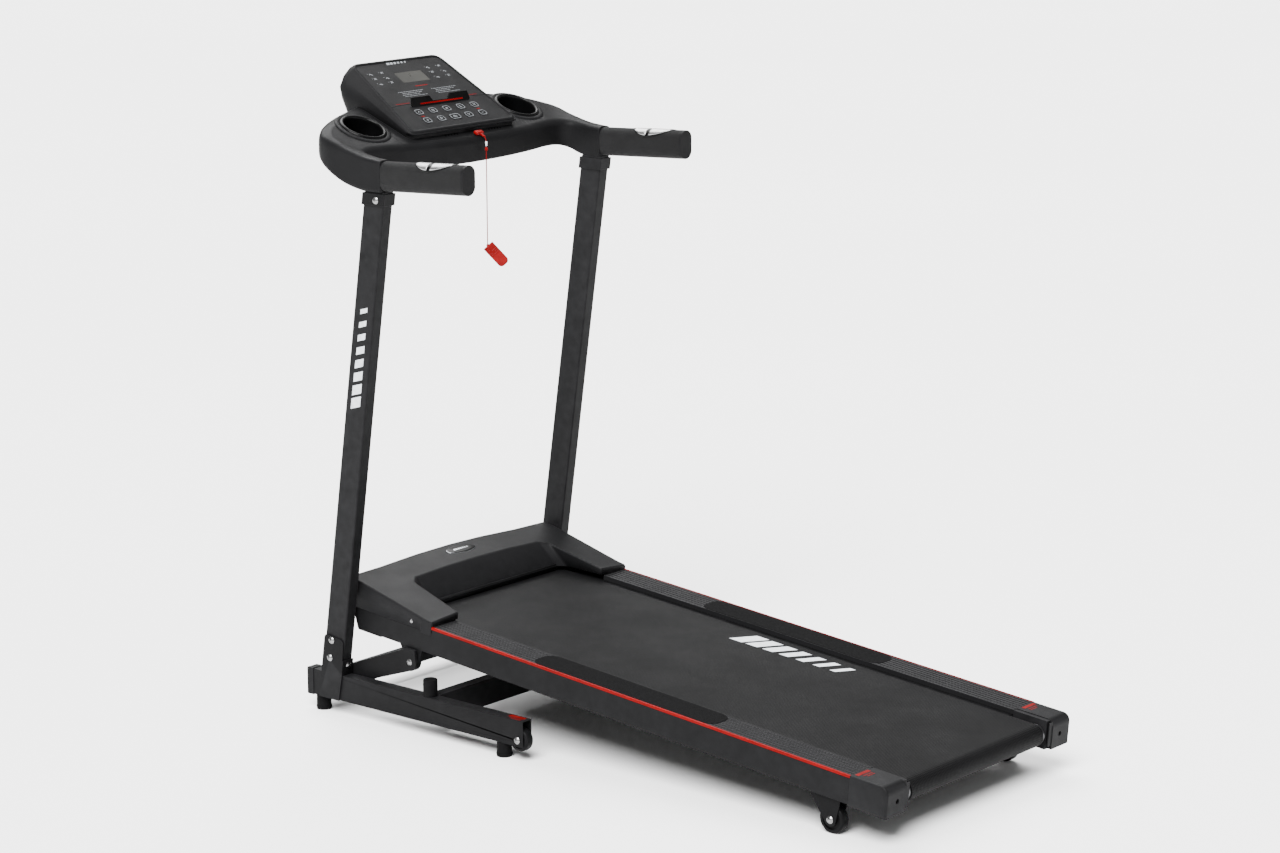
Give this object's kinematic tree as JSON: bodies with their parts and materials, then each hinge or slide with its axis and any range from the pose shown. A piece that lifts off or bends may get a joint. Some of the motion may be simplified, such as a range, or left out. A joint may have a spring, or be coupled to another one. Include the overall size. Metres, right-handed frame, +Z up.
{
  "type": "folding motorised treadmill",
  "caption": "Folding home treadmill: powered belt deck hinged on a wheeled base, leaning uprights, tilted console with keys, cup holders, padded handles and a clip-on safety key.",
  "frame": {"origin": "on the floor under the middle of the whole machine's outline", "axes": "+Z up, +Y forwards along the deck to the console, +X to the runner's right"},
  "size_m": [0.643, 1.3907, 1.2045],
  "materials": {
    "powder_coat": "satin powder coat",
    "zinc_bolts": "bright",
    "black_plastic": "fine moulded texture",
    "gloss_black": "glossy",
    "rail_grey": "ribbed, dotted",
    "red_trim": "satin",
    "anti_slip": "gritty",
    "rubber_black": "matt",
    "belt_pvc": "fine diamond weave",
    "foam": "foam",
    "steel_plate": "polished",
    "board_wood": "laminate",
    "panel": "satin overlay",
    "key_cap": "satin",
    "window": "clear",
    "circuit": "board",
    "motor_paint": "semi gloss",
    "aluminium": "finned",
    "roller_steel": "turned",
    "wheel_black": "moulded",
    "red_plastic": "satin",
    "red_cord": "braided",
    "badge": "silvered"
  },
  "bodies": {
    "base": {"base_tubes": "powder_coat", "base_end_shoes": "black_plastic", "rubber_feet": "rubber_black", "upright_brackets": "powder_coat", "hinge_arms": "powder_coat", "uprights": "powder_coat", "frame_bolts": "zinc_bolts", "handle_bars": "powder_coat", "grips": "foam", "grip_caps": "black_plastic", "pulse_sensors": "steel_plate", "console_tray": "black_plastic", "console_underside": "black_plastic", "cup_liners": "gloss_black", "console_pod": "black_plastic", "console_face": "panel", "console_board": "circuit", "lcd_window": "window", "tablet_rest": "gloss_black"},
    "deck": {"deck_beams": "powder_coat", "deck_cross_members": "powder_coat", "deck_hinge_brackets": "powder_coat", "running_board": "board_wood", "deck_cushions": "rubber_black", "running_belt": "belt_pvc", "foot_rails": "rail_grey", "rail_pads": "anti_slip", "trim_strips": "red_trim", "rear_caps": "black_plastic", "motor_hood": "black_plastic", "hood_badge": "badge", "belly_pan": "black_plastic", "motor": "motor_paint", "drive_belt": "rubber_black", "motor_controller": "aluminium", "roller_shafts": "zinc_bolts", "wheel_brackets": "powder_coat", "deck_screws": "zinc_bolts", "power_inlet": "black_plastic"},
    "front_roller": {"front_roller": "roller_steel"},
    "rear_roller": {"rear_roller": "roller_steel"},
    "motor_rotor": {"motor_pulley": "roller_steel"},
    "rear_wheel_left": {"rear_wheel_left": "wheel_black"},
    "rear_wheel_right": {"rear_wheel_right": "wheel_black"},
    "base_wheel_left": {"base_wheel_left": "wheel_black"},
    "base_wheel_right": {"base_wheel_right": "wheel_black"},
    "safety_key": {"safety_key": "red_plastic", "tether_cord": "red_cord", "clip_body": "red_plastic"},
    "clip_jaw": {"clip_jaw": "red_plastic"},
    "console_key_01": {"console_key_01": "key_cap"},
    "console_key_02": {"console_key_02": "key_cap"},
    "console_key_03": {"console_key_03": "key_cap"},
    "console_key_04": {"console_key_04": "key_cap"},
    "console_key_05": {"console_key_05": "key_cap"},
    "console_key_06": {"console_key_06": "key_cap"},
    "console_key_07": {"console_key_07": "key_cap"},
    "console_key_08": {"console_key_08": "key_cap"},
    "console_key_09": {"console_key_09": "key_cap"},
    "console_key_10": {"console_key_10": "key_cap"}
  },
  "joints": [
    {"name": "deck_fold", "type": "hinge", "parent": "base", "child": "deck", "pos_m": [0, 0.39795, 0.126], "axis": [-1, 0, 0], "range_deg": [0, 72]},
    {"name": "front_roller_spin", "type": "hinge", "parent": "deck", "child": "front_roller", "pos_m": [0, 0.44888, 0.18061], "axis": [1, 0, 0], "continuous": true},
    {"name": "rear_roller_spin", "type": "hinge", "parent": "deck", "child": "rear_roller", "pos_m": [0, -0.66877, 0.08185], "axis": [1, 0, 0], "continuous": true},
    {"name": "motor_spin", "type": "hinge", "parent": "deck", "child": "motor_rotor", "pos_m": [0, 0.50973, 0.20767], "axis": [1, 0, 0], "continuous": true},
    {"name": "rear_wheel_left_spin", "type": "hinge", "parent": "deck", "child": "rear_wheel_left", "pos_m": [-0.2585, -0.57043, 0.0256], "axis": [1, 0, 0], "continuous": true},
    {"name": "base_wheel_left_spin", "type": "hinge", "parent": "base", "child": "base_wheel_left", "pos_m": [-0.301, 0.10455, 0.0398], "axis": [1, 0, 0], "continuous": true},
    {"name": "rear_wheel_right_spin", "type": "hinge", "parent": "deck", "child": "rear_wheel_right", "pos_m": [0.2585, -0.57043, 0.0256], "axis": [1, 0, 0], "continuous": true},
    {"name": "base_wheel_right_spin", "type": "hinge", "parent": "base", "child": "base_wheel_right", "pos_m": [0.301, 0.10455, 0.0398], "axis": [1, 0, 0], "continuous": true},
    {"name": "console_key_01_press", "type": "slide", "parent": "base", "child": "console_key_01", "axis": [0, 0.5203, -0.854], "range_m": [0, 0.001], "stiffness_N_per_m": 1500},
    {"name": "console_key_02_press", "type": "slide", "parent": "base", "child": "console_key_02", "axis": [0, 0.5203, -0.854], "range_m": [0, 0.001], "stiffness_N_per_m": 1500},
    {"name": "console_key_03_press", "type": "slide", "parent": "base", "child": "console_key_03", "axis": [0, 0.5203, -0.854], "range_m": [0, 0.001], "stiffness_N_per_m": 1500},
    {"name": "console_key_04_press", "type": "slide", "parent": "base", "child": "console_key_04", "axis": [0, 0.5203, -0.854], "range_m": [0, 0.001], "stiffness_N_per_m": 1500},
    {"name": "console_key_05_press", "type": "slide", "parent": "base", "child": "console_key_05", "axis": [0, 0.5203, -0.854], "range_m": [0, 0.001], "stiffness_N_per_m": 1500},
    {"name": "console_key_06_press", "type": "slide", "parent": "base", "child": "console_key_06", "axis": [0, 0.5203, -0.854], "range_m": [0, 0.001], "stiffness_N_per_m": 1500},
    {"name": "console_key_07_press", "type": "slide", "parent": "base", "child": "console_key_07", "axis": [0, 0.5203, -0.854], "range_m": [0, 0.001], "stiffness_N_per_m": 1500},
    {"name": "console_key_08_press", "type": "slide", "parent": "base", "child": "console_key_08", "axis": [0, 0.5203, -0.854], "range_m": [0, 0.001], "stiffness_N_per_m": 1500},
    {"name": "console_key_09_press", "type": "slide", "parent": "base", "child": "console_key_09", "axis": [0, 0.5203, -0.854], "range_m": [0, 0.001], "stiffness_N_per_m": 1500},
    {"name": "console_key_10_press", "type": "slide", "parent": "base", "child": "console_key_10", "axis": [0, 0.5203, -0.854], "range_m": [0, 0.001], "stiffness_N_per_m": 1500},
    {"name": "safety_key_pull", "type": "slide", "parent": "base", "child": "safety_key", "axis": [0, -0.3907, 0.9205], "range_m": [0, 0.03]},
    {"name": "clip_squeeze", "type": "hinge", "parent": "safety_key", "child": "clip_jaw", "pos_m": [0.03558, 0.46764, 0.85237], "axis": [0.5255, -0.5255, 0.6691], "range_deg": [0, 9], "stiffness_Nm_per_rad": 0.8}
  ],
  "couplings": [
    {"joint": "rear_roller_spin", "follows": "front_roller_spin", "ratio": 1},
    {"joint": "motor_spin", "follows": "front_roller_spin", "ratio": 2}
  ]
}
